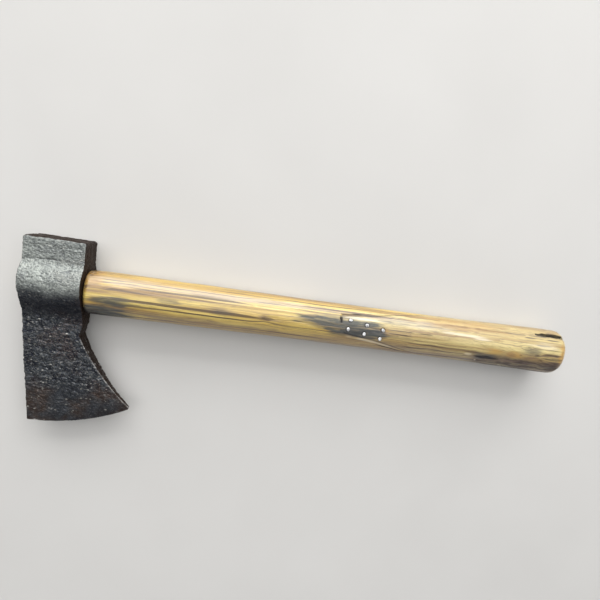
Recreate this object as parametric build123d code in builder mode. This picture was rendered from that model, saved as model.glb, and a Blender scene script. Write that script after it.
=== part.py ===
from build123d import *
from math import atan2, cos, degrees, hypot, radians, sin
import os

# An old hand-forged belt hatchet, lying on its side. All sizes are in millimetres.
# The origin is the centre of the poll's striking face. +Y points out of that face, so
# the cutting edge is at -Y. +X runs along the haft, from the head to the butt. +Z is
# across the thickness of the blade, and the head is symmetric about Z = 0.

# ---- Head: side outline ----
POLL_WIDTH = 42.0            # along the haft; also the depth of the eye
POLL_FACE_TO_AXIS = 37.0     # striking face to the centreline of the haft
UNDERSIDE_X = POLL_WIDTH / 2
TOPSIDE_X = -POLL_WIDTH / 2
AXIS_Y = -POLL_FACE_TO_AXIS
NOTCH = (19.0, -71.0)        # inner corner where the beard leaves the underside
HEEL = (58.0, -126.5)        # tip of the beard, at the haft end of the cutting edge
HEEL_BLUNT = 2.5             # length of the blunt corner under the heel
TOE = (-16.5, -144.2)        # far end of the cutting edge
BEARD_HOLLOW = 3.2           # how far the beard's edge bows in from a straight line
EDGE_BOW = 5.0               # how far the cutting edge bows out from a straight line
TOPSIDE_KNEE_Y = -60.0       # below this the top side leans in toward the toe
UNDERSIDE_LEAN = 8.0         # height over which the underside leans in to the notch
POLL_ROUND = 2.2

# ---- Head: thickness, as half-thickness either side of Z = 0 ----
POLL_HALF = 11.5
POLL_NECK = (-16.0, 11.9)    # Y and half-thickness where the poll starts to swell
EYE_HALF = 18.4
EYE_CREST_Y = -33.0
EYE_SHOULDER = (-22.0, 14.9)
EYE_FOOT = [(-44.5, 14.6), (-56.0, 8.4)]
BLADE_TOP_Y = -66.0
BLADE_HALF = 6.8             # from here to the taper
TAPER_HEIGHT = 66.0          # the taper's height above the chord of the cutting edge
EDGE_HALF = 0.5
BEVEL_HALF = 1.9             # where the grinding bevel starts
BEVEL_HEIGHT = 9.0

# ---- Eye and tenon ----
EYE_UNDER = (29.0, 22.0)     # oval at the underside: along Y, along Z
EYE_TOP = (31.0, 24.5)       # the eye opens toward the top side, where it is wedged
TENON_PROUD = 1.5
PLUG_PAST_HEAD = 10.0        # the eye's cutter stands out of the head this far

# ---- Steel bit let into a cleft in the blade ----
WELD_Y = -113.0              # where the iron cheeks end on the outside
CLEFT_Y = -102.0             # bottom of the cleft, inside the blade

CUTTER_REACH = 160.0         # cutting shapes go this far, well outside the head

# ---- Haft ----
HAFT_LENGTH = 397.0          # shoulder to butt
HAFT_OVALS = [               # distance from the shoulder, depth along Y, width along Z
    (0, 34.0, 29.0),
    (45, 34.3, 29.2),
    (150, 34.4, 29.4),
    (220, 35.0, 30.2),
    (294, 36.2, 31.4),
    (350, 38.2, 33.0),
    (378, 39.2, 33.8),
    (HAFT_LENGTH, 39.2, 33.8),
]
SHOULDER_ROUND = 2.6
BUTT_ROUND = 8.0

# ---- Scarf splice: an S-curve from one face of the haft to the other ----
SCARF_MIDDLE = 282.0         # distance from the shoulder to the crossing of the axis
SCARF_CURVE = [(24, 6.5), (52, 11.0), (89, 13.4)]   # along the haft from the middle, depth
SCARF_ROLL = 10.0            # the cut is turned this many degrees about the haft
SCARF_REACH = 30.0           # cutter size, well outside the haft

# ---- Splice nails ----
NAIL_ROWS = 2
NAILS_IN_ROW = 3
NAIL_PITCH = 13.9
NAIL_ROW_GAP = 7.4
NAIL_SLANT = -9.5            # rows slope across the haft, in degrees
NAIL_CENTRE = 213.6          # from the shoulder
NAIL_CENTRE_SIDE = -1.2
NAIL_SHANK_R = 0.9
NAIL_HEAD_R = 1.7
NAIL_HEAD_THICK = 1.2
NAIL_LENGTH = 22.0
NAIL_POINT = 3.0
NAIL_FILED = 3.0             # height of the head before it is filed flush

# ---- Drying check in the butt ----
CHECK_LENGTH = 31.0
CHECK_WIDTH = 1.9            # at the butt; a third of this at its inner end
CHECK_DEPTH = 4.5
CHECK_ANGLE = 31.0           # from +Y toward +Z, around the haft
CHECK_MARGIN = 3.0           # the cutter goes this far outside the wood

# ---- Wedges, driven from the top side ----
WOOD_WEDGE_THICK = 4.0
WOOD_WEDGE_DEPTH = 30.0
IRON_WEDGE_THICK = 2.4
IRON_WEDGE_WIDTH = 15.0
IRON_WEDGE_DEPTH = 20.0
WEDGE_EDGE_SHARE = 1 / 4     # thickness of a wedge's edge, as a share of its thick end


def along(distance):
    """X of a point this far from the haft's shoulder."""
    return UNDERSIDE_X + distance


def head_outline():
    """Side outline of poll, eye and bearded blade, on the XY plane."""
    chord = degrees(atan2(HEEL[1] - TOE[1], HEEL[0] - TOE[0]))
    heel_low = (HEEL[0] - 0.5, HEEL[1] - HEEL_BLUNT)
    bow_dir = (sin(radians(chord)), -cos(radians(chord)))
    middle = ((heel_low[0] + TOE[0]) / 2, (heel_low[1] + TOE[1]) / 2)
    edge_mid = (middle[0] + EDGE_BOW * bow_dir[0], middle[1] + EDGE_BOW * bow_dir[1])
    run = (HEEL[0] - NOTCH[0], HEEL[1] - NOTCH[1])
    span = hypot(*run)
    beard_mid = (
        (NOTCH[0] + HEEL[0]) / 2 + BEARD_HOLLOW * run[1] / span,
        (NOTCH[1] + HEEL[1]) / 2 - BEARD_HOLLOW * run[0] / span,
    )
    with BuildSketch(Plane.XY) as outline:
        with BuildLine():
            Polyline((TOE[0], TOE[1]), (TOPSIDE_X, TOPSIDE_KNEE_Y), (TOPSIDE_X, 0))
            Polyline(
                (TOPSIDE_X, 0),
                (UNDERSIDE_X, 0),
                (UNDERSIDE_X, NOTCH[1] + UNDERSIDE_LEAN),
                NOTCH,
            )
            ThreePointArc(NOTCH, beard_mid, HEEL)
            Line(HEEL, heel_low)
            ThreePointArc(heel_low, edge_mid, TOE)
        make_face()
    return outline.sketch


def cheek_profile():
    """Thickness of the head from poll to blade, on the YZ plane."""
    with BuildSketch(Plane.YZ) as profile:
        with BuildLine():
            Line((0, 0), (0, POLL_HALF))
            Line((0, POLL_HALF), POLL_NECK)
            Spline(
                POLL_NECK,
                EYE_SHOULDER,
                (EYE_CREST_Y, EYE_HALF),
                *EYE_FOOT,
                (BLADE_TOP_Y, BLADE_HALF),
                tangents=[(-1, 0.1), (-1, -0.02)],
            )
            Polyline(
                (BLADE_TOP_Y, BLADE_HALF),
                (-CUTTER_REACH, BLADE_HALF),
                (-CUTTER_REACH, 0),
                (0, 0),
            )
        make_face()
        mirror(about=Plane.XZ)
    return profile.sketch


def blade_wedge():
    """Taper of the blade toward the chord of its cutting edge."""
    chord = Vector(HEEL[0] - TOE[0], HEEL[1] - TOE[1], 0).normalized()
    up = Vector(-chord.Y, chord.X, 0)
    plane = Plane(origin=(TOE[0], TOE[1], 0), x_dir=up, z_dir=chord)
    below_edge = -EDGE_BOW - 3
    clear_height = TAPER_HEIGHT + 12
    clear_half = EYE_HALF + 5
    with BuildSketch(plane) as taper:
        with BuildLine():
            Polyline(
                (below_edge, 0),
                (below_edge, EDGE_HALF),
                (-EDGE_BOW, EDGE_HALF),
                (BEVEL_HEIGHT - EDGE_BOW, BEVEL_HALF),
                (TAPER_HEIGHT, BLADE_HALF),
                (clear_height, clear_half),
                (clear_height + CUTTER_REACH, clear_half),
                (clear_height + CUTTER_REACH, 0),
                (below_edge, 0),
            )
        make_face()
        mirror(about=Plane.XZ)
    return taper.sketch


def eye_plug(proud):
    """The tapered oval of the eye, from the underside to the top side."""
    with BuildPart() as plug:
        slope = (EYE_TOP[0] - EYE_UNDER[0]) / POLL_WIDTH, (EYE_TOP[1] - EYE_UNDER[1]) / POLL_WIDTH
        top = EYE_TOP[0] + slope[0] * proud, EYE_TOP[1] + slope[1] * proud
        with BuildSketch(Plane.YZ.offset(UNDERSIDE_X)):
            with Locations((AXIS_Y, 0)):
                Ellipse(EYE_UNDER[0] / 2, EYE_UNDER[1] / 2)
        with BuildSketch(Plane.YZ.offset(TOPSIDE_X - proud)):
            with Locations((AXIS_Y, 0)):
                Ellipse(top[0] / 2, top[1] / 2)
        loft()
    return plug.part


def head_blank():
    """Poll, eye and blade as one forging, with its eye open."""
    with BuildPart() as blank:
        extrude(head_outline(), amount=EYE_HALF + 2, both=True)
        extrude(cheek_profile(), amount=CUTTER_REACH, both=True, mode=Mode.INTERSECT)
        extrude(blade_wedge(), amount=CUTTER_REACH, both=True, mode=Mode.INTERSECT)
        poll_edges = blank.edges().filter_by_position(Axis.Y, -0.01, 0.01)
        fillet(poll_edges, radius=POLL_ROUND)
        add(eye_plug(PLUG_PAST_HEAD), mode=Mode.SUBTRACT)
    return blank.part


def haft_blank():
    """The whole haft before it is cut for the splice: tenon, shoulder and swell."""
    with BuildPart() as blank:
        for distance, depth, width in HAFT_OVALS:
            with BuildSketch(Plane.YZ.offset(along(distance))):
                with Locations((AXIS_Y, 0)):
                    Ellipse(depth / 2, width / 2)
        loft()
        ends = blank.edges().filter_by(GeomType.LINE, reverse=True).sort_by(Axis.X)
        fillet(ends[-1], radius=BUTT_ROUND)
        fillet(blank.edges().sort_by(Axis.X)[0], radius=SHOULDER_ROUND)
        add(eye_plug(TENON_PROUD))
    return blank.part


def scarf_plane():
    """Lengthwise plane across the scarf: X along the haft, Y through its depth."""
    roll = radians(SCARF_ROLL)
    return Plane(
        origin=(UNDERSIDE_X, AXIS_Y, 0),
        x_dir=(1, 0, 0),
        z_dir=(0, -cos(roll), sin(roll)),
    )


def scarf_cutter():
    """Everything on the grip's side of the scarf."""
    front = [(SCARF_MIDDLE - run, depth) for run, depth in reversed(SCARF_CURVE)]
    back = [(SCARF_MIDDLE + run, -depth) for run, depth in SCARF_CURVE]
    nib_front = front[0]
    nib_back = back[-1]
    past_butt = HAFT_LENGTH + SCARF_REACH
    with BuildPart() as cutter:
        with BuildSketch(scarf_plane()):
            with BuildLine():
                Spline(*front, (SCARF_MIDDLE, 0), *back)
                Polyline(
                    nib_back,
                    (nib_back[0], -SCARF_REACH),
                    (past_butt, -SCARF_REACH),
                    (past_butt, SCARF_REACH),
                    (nib_front[0], SCARF_REACH),
                    nib_front,
                )
            make_face()
        extrude(amount=SCARF_REACH, both=True)
    return cutter.part


def haft_radii(distance):
    """Half-depth and half-width of the haft at a distance from the shoulder."""
    for (x0, depth0, width0), (x1, depth1, width1) in zip(HAFT_OVALS, HAFT_OVALS[1:]):
        if x0 <= distance <= x1:
            share = (distance - x0) / (x1 - x0)
            return (
                (depth0 + share * (depth1 - depth0)) / 2,
                (width0 + share * (width1 - width0)) / 2,
            )


def surface_height(distance, side):
    """Height of the haft's surface over the scarf's mid-plane, side being across it."""
    roll = radians(SCARF_ROLL)
    half_y, half_z = haft_radii(distance)
    a = (sin(roll) / half_y) ** 2 + (cos(roll) / half_z) ** 2
    b = 2 * side * sin(roll) * cos(roll) * (1 / half_y**2 - 1 / half_z**2)
    c = (side * cos(roll) / half_y) ** 2 + (side * sin(roll) / half_z) ** 2 - 1
    return (-b + (b * b - 4 * a * c) ** 0.5) / (2 * a)


def nail_places():
    """Distance from the shoulder and place across the scarf of each nail."""
    slant = radians(NAIL_SLANT)
    for row in range(NAIL_ROWS):
        for step in range(NAILS_IN_ROW):
            u = (step - (NAILS_IN_ROW - 1) / 2) * NAIL_PITCH
            v = ((NAIL_ROWS - 1) / 2 - row) * NAIL_ROW_GAP
            yield (
                NAIL_CENTRE + u * cos(slant) - v * sin(slant),
                NAIL_CENTRE_SIDE + u * sin(slant) + v * cos(slant),
            )


def nail(distance, side):
    """A wire nail with a round head, filed flush with the haft."""
    roll = radians(SCARF_ROLL)
    height = surface_height(distance, side)
    top = (
        along(distance),
        AXIS_Y + side * cos(roll) + height * sin(roll),
        -side * sin(roll) + height * cos(roll),
    )
    down = Plane(origin=top, x_dir=(1, 0, 0), z_dir=(0, -sin(roll), -cos(roll)))
    shank = NAIL_LENGTH - NAIL_POINT
    with BuildPart() as body:
        with BuildSketch(Plane(origin=down.origin, x_dir=down.x_dir, z_dir=-down.y_dir)):
            with BuildLine():
                Polyline(
                    (0, -NAIL_FILED),
                    (NAIL_HEAD_R, -NAIL_FILED),
                    (NAIL_HEAD_R, NAIL_HEAD_THICK / 2),
                    (NAIL_SHANK_R, NAIL_HEAD_THICK),
                    (NAIL_SHANK_R, shank),
                    (NAIL_SHANK_R / 4, NAIL_LENGTH),
                    (0, NAIL_LENGTH),
                    (0, -NAIL_FILED),
                )
            make_face()
        revolve(axis=Axis(down.origin, down.z_dir))
        add(blank_haft, mode=Mode.INTERSECT)
    return body.part


def check_cutter():
    """The long drying check that opens at the butt."""
    angle = radians(CHECK_ANGLE)
    half_y, half_z = haft_radii(HAFT_LENGTH)
    radius = 1 / hypot(cos(angle) / half_y, sin(angle) / half_z)
    outward = (0, cos(angle), sin(angle))
    floor = radius - CHECK_DEPTH
    start = Plane(
        origin=(
            along(HAFT_LENGTH - CHECK_LENGTH),
            AXIS_Y + floor * outward[1],
            floor * outward[2],
        ),
        x_dir=(1, 0, 0),
        z_dir=outward,
    )
    beyond = CHECK_LENGTH + CHECK_MARGIN
    narrow = CHECK_WIDTH / 3
    with BuildPart() as cutter:
        with BuildSketch(start):
            Polygon(
                (0, -narrow / 2),
                (beyond, -CHECK_WIDTH / 2),
                (beyond, CHECK_WIDTH / 2),
                (0, narrow / 2),
                align=None,
            )
        extrude(amount=CHECK_DEPTH + CHECK_MARGIN)
    return cutter.part


def wedge_blade(plane, thickness, depth, half_width):
    """A plain wedge, its thick end at the tenon's end and its edge toward the haft."""
    end = TOPSIDE_X - TENON_PROUD
    tip = thickness * WEDGE_EDGE_SHARE / 2
    with BuildPart() as wedge:
        with BuildSketch(plane):
            Polygon(
                (end, -thickness / 2),
                (end + depth, -tip),
                (end + depth, tip),
                (end, thickness / 2),
                align=None,
            )
        extrude(amount=half_width, both=True)
    return wedge.part


# ---- Tools shared by mating pieces, so that the pieces meet face to face ----
blank_head = head_blank()
blank_haft = haft_blank()
grip_side = scarf_cutter()
nails = [nail(distance, side) for distance, side in nail_places()]
wood_slot = wedge_blade(
    Plane(origin=(0, AXIS_Y, 0), x_dir=(1, 0, 0), z_dir=(0, -1, 0)),
    WOOD_WEDGE_THICK,
    WOOD_WEDGE_DEPTH,
    EYE_TOP[0],
)
iron_slot = wedge_blade(
    Plane(origin=(0, AXIS_Y, 0), x_dir=(1, 0, 0), z_dir=(0, 0, 1)),
    IRON_WEDGE_THICK,
    IRON_WEDGE_DEPTH,
    IRON_WEDGE_WIDTH / 2,
)
with BuildPart() as cleft:
    with BuildSketch(Plane.YZ):
        Polygon(
            (CLEFT_Y, 0),
            (WELD_Y, EYE_HALF),
            (2 * WELD_Y, EYE_HALF),
            (2 * WELD_Y, -EYE_HALF),
            (WELD_Y, -EYE_HALF),
            align=None,
        )
    extrude(amount=-2 * WELD_Y, both=True)

os.makedirs("parts", exist_ok=True)

# ---- Iron body of the head: poll, eye and cheeks ----
with BuildPart() as head_body:
    add(blank_head)
    add(cleft.part, mode=Mode.SUBTRACT)
head_body.part.label = "head_body"
export_step(head_body.part, "parts/head_body.step")

# ---- Steel bit, forge-welded into the cleft ----
with BuildPart() as steel_bit:
    add(blank_head)
    add(cleft.part, mode=Mode.INTERSECT)
steel_bit.part.label = "steel_bit"
export_step(steel_bit.part, "parts/steel_bit.step")

# ---- Front length of the haft, with the tenon ----
with BuildPart() as haft_forward:
    add(blank_haft)
    add(grip_side, mode=Mode.SUBTRACT)
    add(wood_slot, mode=Mode.SUBTRACT)
    add(iron_slot, mode=Mode.SUBTRACT)
    for one_nail in nails:
        add(one_nail, mode=Mode.SUBTRACT)
haft_forward.part.label = "haft_forward"
export_step(haft_forward.part, "parts/haft_forward.step")

# ---- Grip length of the haft, with its check ----
with BuildPart() as haft_grip:
    add(blank_haft)
    add(grip_side, mode=Mode.INTERSECT)
    add(check_cutter(), mode=Mode.SUBTRACT)
    for one_nail in nails:
        add(one_nail, mode=Mode.SUBTRACT)
haft_grip.part.label = "haft_grip"
export_step(haft_grip.part, "parts/haft_grip.step")

# ---- Wedges that spread the tenon in the eye ----
with BuildPart() as wood_wedge:
    add(eye_plug(TENON_PROUD))
    add(wood_slot, mode=Mode.INTERSECT)
    add(iron_slot, mode=Mode.SUBTRACT)
wood_wedge.part.label = "wood_wedge"
export_step(wood_wedge.part, "parts/wood_wedge.step")

with BuildPart() as iron_wedge:
    add(iron_slot)
iron_wedge.part.label = "iron_wedge"
export_step(iron_wedge.part, "parts/iron_wedge.step")

# ---- Six nails through the tongue of the grip ----
for number, one_nail in enumerate(nails, start=1):
    with BuildPart() as splice_nail:
        add(one_nail)
    splice_nail.part.label = f"splice_nail_{number}"
    export_step(splice_nail.part, f"parts/splice_nail_{number}.step")
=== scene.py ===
"""An old forged belt hatchet on a pale floor: the looks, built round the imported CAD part."""

import bmesh
import bpy
import math
from itertools import product

import numpy as np
from mathutils import Matrix, Vector


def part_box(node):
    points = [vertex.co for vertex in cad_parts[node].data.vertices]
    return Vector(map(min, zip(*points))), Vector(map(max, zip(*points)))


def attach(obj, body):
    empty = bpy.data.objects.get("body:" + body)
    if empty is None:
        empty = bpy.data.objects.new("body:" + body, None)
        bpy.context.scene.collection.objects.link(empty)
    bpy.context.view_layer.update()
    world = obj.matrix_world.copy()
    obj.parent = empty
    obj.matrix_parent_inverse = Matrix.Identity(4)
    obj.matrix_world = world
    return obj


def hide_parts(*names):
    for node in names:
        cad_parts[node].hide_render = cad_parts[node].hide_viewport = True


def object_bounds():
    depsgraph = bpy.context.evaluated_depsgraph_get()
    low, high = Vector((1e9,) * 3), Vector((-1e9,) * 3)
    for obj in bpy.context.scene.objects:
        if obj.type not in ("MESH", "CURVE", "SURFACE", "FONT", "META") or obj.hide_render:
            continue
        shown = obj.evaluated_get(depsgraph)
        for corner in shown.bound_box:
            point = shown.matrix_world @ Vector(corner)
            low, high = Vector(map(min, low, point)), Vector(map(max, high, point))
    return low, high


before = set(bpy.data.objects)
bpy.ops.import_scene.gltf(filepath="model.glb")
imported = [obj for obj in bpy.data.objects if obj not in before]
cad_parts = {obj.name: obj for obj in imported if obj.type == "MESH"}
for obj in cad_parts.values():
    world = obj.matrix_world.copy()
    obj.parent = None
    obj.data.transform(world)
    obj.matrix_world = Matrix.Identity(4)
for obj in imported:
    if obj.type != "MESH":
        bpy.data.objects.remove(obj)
cad_box = [list(corner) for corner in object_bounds()]

MM = 0.001
SQUARE = [(-1, -1), (1, -1), (1, 1), (-1, 1)]

# ---- Places and sizes, in millimetres, in the part's own frame ----
UNDERSIDE_X = 21.0            # where the haft's shoulder meets the head
TOPSIDE_X = -21.0             # the far side of the head, where the tenon's end shows
AXIS_Y = -37.0                # the haft's centreline; the poll's face is at Y = 0
EYE_UNDER = (29.0, 22.0)      # the eye's oval at the underside: along Y, along Z
EYE_TOP = (31.0, 24.5)        # and at the top side
TENON_END_X = -22.5
HAFT_LENGTH = 397.0
HAFT_OVALS = [                # distance from the shoulder, depth along Y, width along Z
    (0, 34.0, 29.0), (45, 34.3, 29.2), (150, 34.4, 29.4), (220, 35.0, 30.2),
    (294, 36.2, 31.4), (350, 38.2, 33.0), (378, 39.2, 33.8), (HAFT_LENGTH, 39.2, 33.8),
]
BUTT_ROUND = 8.0
SHOULDER_ROUND = 3.4
SCARF_MIDDLE = 282.0          # where the splice's surface crosses the haft's axis
SCARF_CURVE = [(24, 6.5), (52, 11.0), (89, 13.4)]    # distance from the middle, height
SCARF_ROLL = math.radians(10.0)
NIB_FRONT = SCARF_MIDDLE - SCARF_CURVE[-1][0]
NIB_BACK = SCARF_MIDDLE + SCARF_CURVE[-1][0]
NIB_CHIP = 1.5                # how far the chipped corner of the front nib stands open
SPLIT_HEIGHT = 10.0           # where the split starts at the nib, over the haft's axis
SPLIT_RISE = 0.11             # its rise for each millimetre toward the butt
CHECK_ANGLE = math.radians(31.0)    # round the haft, from +Y toward +Z
CHECK_LENGTH = 32.0
CHECK_DEPTH = 4.4
WOOD_WEDGE_HALF = 2.0         # half-thickness at the tenon's end
WOOD_WEDGE_DEPTH = 30.0
KERF_HALF_WIDTH = 20.0        # wider than the tenon
IRON_WEDGE_HALF = 1.2
IRON_WEDGE_DEPTH = 20.0
IRON_WEDGE_HALF_WIDTH = 7.5
NAIL_TIP_R = 0.225
NAIL_LENGTH = 22.0
WELD_Y = -113.0               # where the steel bit shows below the iron
CLEFT_Y = -102.0              # the top of the bit, inside the blade
CREASE = math.radians(48)     # edges of the cuts in the wood that are sharper stay crisp

BEARD = [(19.0, -71.0), (58.0, -126.5)]    # from the notch to the heel
BEARD_HOLLOW = 3.2
EDGE_POINTS = [(57.5, -129.0), (22.4, -141.5), (-16.5, -144.2)]   # along the cutting edge

# ---- Marks on the wood ----
# For each mark its first seed, how ragged its patches are, and the patches: distance from
# the shoulder, height over the axis, half-length, half-height, strength.
BLOTS = {
    "blue": (400, 0.45, [
        (20, -2.5, 17, 3.4, 0.8), (12, -12.5, 20, 6, 1.0), (176, 3.5, 18, 4.8, 1.0),
        (194, 1.5, 24, 6.5, 0.9), (208, 0.5, 20, 7.0, 1.0), (222, 0, 10, 4.0, 0.9),
        (186, 7.5, 13, 3.4, 0.5), (213, 5.2, 13, 2.6, 0.9), (244, 10, 18, 2.2, 0.35),
        (60, 3, 8, 2.2, 0.45), (98, 0, 10, 2.0, 0.4), (321, -8, 11, 3, 0.7),
        (362, 1, 9, 3, 0.4),
    ]),
    "brown": (500, 0.45, [
        (4, 12, 6, 6, 0.45), (26, -8, 16, 2.5, 0.8), (70, -10, 40, 4, 0.5),
        (120, -11, 50, 3, 0.5), (100, 1, 14, 3, 0.45), (133, 0, 6, 3.0, 0.7),
        (196, -6, 10, 2.0, 0.5), (240, -11, 26, 3, 0.5), (350, -11, 38, 5.0, 0.95),
        (343, -3, 5, 2, 0.5), (362, -4, 8, 4, 0.45), (384, -9, 8, 2.5, 0.9),
    ]),
    "black": (600, 0.8, [
        (8, -13.5, 11, 4, 0.95), (214, 0, 18, 2.6, 0.45), (321, -8.7, 10, 2.4, 0.9),
        (350, -12, 28, 3.0, 0.6), (363, 3, 7, 3.0, 0.4), (352, -3, 2.0, 0.8, 0.6),
        (358, 5, 2.4, 0.8, 0.6), (366, -1.5, 3.0, 0.8, 0.6), (371, -5.5, 2.6, 0.9, 0.6),
        (134, 0, 4.2, 1.8, 0.5), (384, -12, 8, 2.0, 0.75), (382, 1, 9, 0.7, 0.5),
        (381, 4.5, 9, 0.7, 0.5), (383, -3, 8, 0.7, 0.5),
    ]),
    # the patches high on the haft in this list are painted highlight, partly over pale wood;
    # the low one at 305 is pale wood
    "pale": (700, 0.45, [
        (296, 7.5, 18, 1.0, 0.9), (314, 6.0, 8, 1.0, 0.9), (210, 8.8, 17, 0.9, 0.9),
        (40, 12, 60, 2.4, 0.25), (110, 12, 70, 2.0, 0.22), (250, 10, 36, 2.4, 0.3),
        (372, 7, 14, 2.4, 0.45), (305, -8.0, 3, 1.0, 0.6),
    ]),
    "amber": (800, 0.45, [
        (5, 12, 8, 6, 0.95), (8, -3, 5, 3, 0.6), (230, 1.5, 4, 2.6, 1.0),
        (196, 4.8, 3.2, 1.3, 1.0), (329, -2.4, 8, 3.2, 0.9), (345, -3, 7, 3.2, 0.8),
        (300, 14, 46, 3.4, 0.5), (120, 3, 34, 3, 0.45), (170, 8, 30, 2, 0.4),
        (391.5, 1, 4, 9, 1.0),
    ]),
}
KNOTS = [                     # distance, height, reach, how far the grain bends
    (133, -1.5, 9, 1.6),
    (346, -3, 10, 3.8),
    (356, 4, 6, -2.6),
    (365, -3, 8, 3.2),
]


# ---- Repeatable noise ----
def lattice(ix, iy, iz, seed):
    """A repeatable number from 0 to 1 for each whole-number point."""
    n = (ix * 73856093) ^ (iy * 19349663) ^ (iz * 83492791) ^ (seed * 374761393)
    n = ((n & 0x7FFFFFFF) ^ ((n & 0x7FFFFFFF) >> 13)) * 1274126177
    n = (n & 0x7FFFFFFF) ^ ((n & 0x7FFFFFFF) >> 15)
    n = n * 1911520717 & 0x7FFFFFFF
    return (n ^ (n >> 16)) / 0x7FFFFFFF


def noise(points, size, seed):
    """Smooth noise from -1 to 1 that varies over about size, one number or one per axis."""
    q = points / np.asarray(size, float)
    cell = np.floor(q).astype(np.int64)
    t = q - cell
    t = t * t * (3 - 2 * t)
    total = np.zeros(len(points))
    for corner in product((0, 1), repeat=3):
        weight = np.prod(np.where(corner, t, 1 - t), axis=1)
        total += weight * lattice(*(cell + corner).T, seed)
    return 2 * total - 1


def rough_noise(points, size, seed, octaves=3):
    """Noise with finer noise added, each octave half as large and half as strong."""
    total = np.zeros(len(points))
    for k in range(octaves):
        total += noise(points, np.asarray(size, float) / 2**k, seed + 17 * k) / 2**k
    return total


def pits(points, size, share, seed):
    """Round hollows of mixed size: 1 at the bottom of each, 0 between them."""
    q = points / np.asarray(size, float)
    cell = np.floor(q).astype(np.int64)
    deepest = np.zeros(len(points))
    for step in product((-1, 0, 1), repeat=3):
        home = (cell + step).T
        centre = np.stack([lattice(*home, seed + k) for k in range(3)], axis=1)
        radius = 0.3 + 0.45 * lattice(*home, seed + 3)
        away = np.linalg.norm(q - (home.T + centre), axis=1) / radius
        here = lattice(*home, seed + 4) < share
        deepest = np.maximum(deepest, np.where(here, np.clip(1 - away**2, 0, 1) ** 1.5, 0))
    return deepest


def ramp(values, low, high):
    """0 below low, 1 above high, smooth between; low may be above high."""
    t = np.clip((values - low) / (high - low), 0, 1)
    return t * t * (3 - 2 * t)


# ---- Mesh helpers ----
def points_of(mesh):
    found = np.empty(len(mesh.vertices) * 3, np.float32)
    mesh.vertices.foreach_get("co", found)
    return found.reshape(-1, 3).astype(float) / MM


def normals_of(mesh):
    found = np.empty(len(mesh.vertices) * 3, np.float32)
    mesh.vertex_normals.foreach_get("vector", found)
    return found.reshape(-1, 3).astype(float)


def attribute_of(mesh, name):
    """The numbers kept at the vertices under a name, or zeros where there are none."""
    found = np.zeros(len(mesh.vertices), np.float32)
    if name in mesh.attributes:
        mesh.attributes[name].data.foreach_get("value", found)
    return found


def set_points(mesh, points):
    mesh.vertices.foreach_set("co", (points * MM).astype(np.float32).ravel())
    mesh.update()


def set_attribute(mesh, name, values):
    """A number at each vertex, for the materials to read."""
    found = mesh.attributes.get(name) or mesh.attributes.new(name, "FLOAT", "POINT")
    found.data.foreach_set("value", values.astype(np.float32))


def new_object(name, mesh):
    made = bpy.data.objects.new(name, mesh)
    bpy.context.scene.collection.objects.link(made)
    return made


def mesh_object(name, points, faces):
    """A new mesh object from points in millimetres, its faces turned outward."""
    mesh = bpy.data.meshes.new(name)
    mesh.from_pydata((np.asarray(points) * MM).tolist(), [], faces)
    shell = bmesh.new()
    shell.from_mesh(mesh)
    if shell.calc_volume(signed=True) < 0:
        bmesh.ops.reverse_faces(shell, faces=shell.faces)
        shell.to_mesh(mesh)
    shell.free()
    mesh.update()
    return new_object(name, mesh)


def apply_modifiers(piece):
    """Replaces the piece's mesh by what its modifiers make of it."""
    graph = bpy.context.evaluated_depsgraph_get()
    old = piece.data
    made = bpy.data.meshes.new_from_object(piece.evaluated_get(graph), depsgraph=graph)
    piece.modifiers.clear()
    piece.data = made
    made.name = piece.name
    bpy.data.meshes.remove(old)


def cut(piece, cutter, operation):
    """Keeps the part of the piece inside or outside the cutter."""
    step = piece.modifiers.new("cut", "BOOLEAN")
    step.object = cutter
    step.operation = operation
    step.solver = "MANIFOLD"
    apply_modifiers(piece)


def copy_of(piece, name):
    return new_object(name, piece.data.copy())


def discard(piece):
    mesh = piece.data
    bpy.data.objects.remove(piece)
    bpy.data.meshes.remove(mesh)


def shade_smooth(piece, crease=None):
    """Smooth shading, but for edges where faces meet at more than the crease angle."""
    piece.data.polygons.foreach_set("use_smooth", [True] * len(piece.data.polygons))
    if crease:
        piece.data.set_sharp_from_angle(angle=crease)


def smooth_through(knots, at):
    """Smooth curves through rows of (place, value, ...), read at one place or at many."""
    knots = np.array(knots, float)
    xs, values = knots[:, 0], knots[:, 1:]
    slopes = np.gradient(values, xs, axis=0)
    k = np.clip(np.searchsorted(xs, at) - 1, 0, len(xs) - 2)
    span = np.asarray(xs[k + 1] - xs[k])[..., None]
    t = np.clip((np.asarray(at) - xs[k])[..., None] / span, 0, 1)
    return (
        (2 * t**3 - 3 * t**2 + 1) * values[k]
        + (t**3 - 2 * t**2 + t) * span * slopes[k]
        + (3 * t**2 - 2 * t**3) * values[k + 1]
        + (t**3 - t**2) * span * slopes[k + 1]
    )


def ring_faces(rings, count):
    """Quads between each ring of points and the next."""
    faces = []
    for ring in range(rings - 1):
        a, b = ring * count, (ring + 1) * count
        for k in range(count):
            n = (k + 1) % count
            faces.append((a + k, a + n, b + n, b + k))
    return faces


def skin_through(name, rings):
    """A closed mesh through rings of points that all have the same number of points."""
    count = len(rings[0])
    last = (len(rings) - 1) * count
    faces = [list(range(count))[::-1], list(range(last, last + count))]
    faces += ring_faces(len(rings), count)
    return mesh_object(name, np.vstack(rings), faces)


def eye_half(x):
    """Half-length along Y and half-width along Z of the eye's oval at x."""
    share = (UNDERSIDE_X - x) / (UNDERSIDE_X - TOPSIDE_X)
    return [(under + share * (top - under)) / 2 for under, top in zip(EYE_UNDER, EYE_TOP)]


def eye_radius_share(points):
    """How far out a point is in the eye's oval: 1 on its wall, less inside."""
    half_y, half_z = eye_half(points[:, 0])
    return np.hypot((points[:, 1] - AXIS_Y) / half_y, points[:, 2] / half_z)


# ---- The head ----
VOXEL = 0.47      # millimetres


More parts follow.
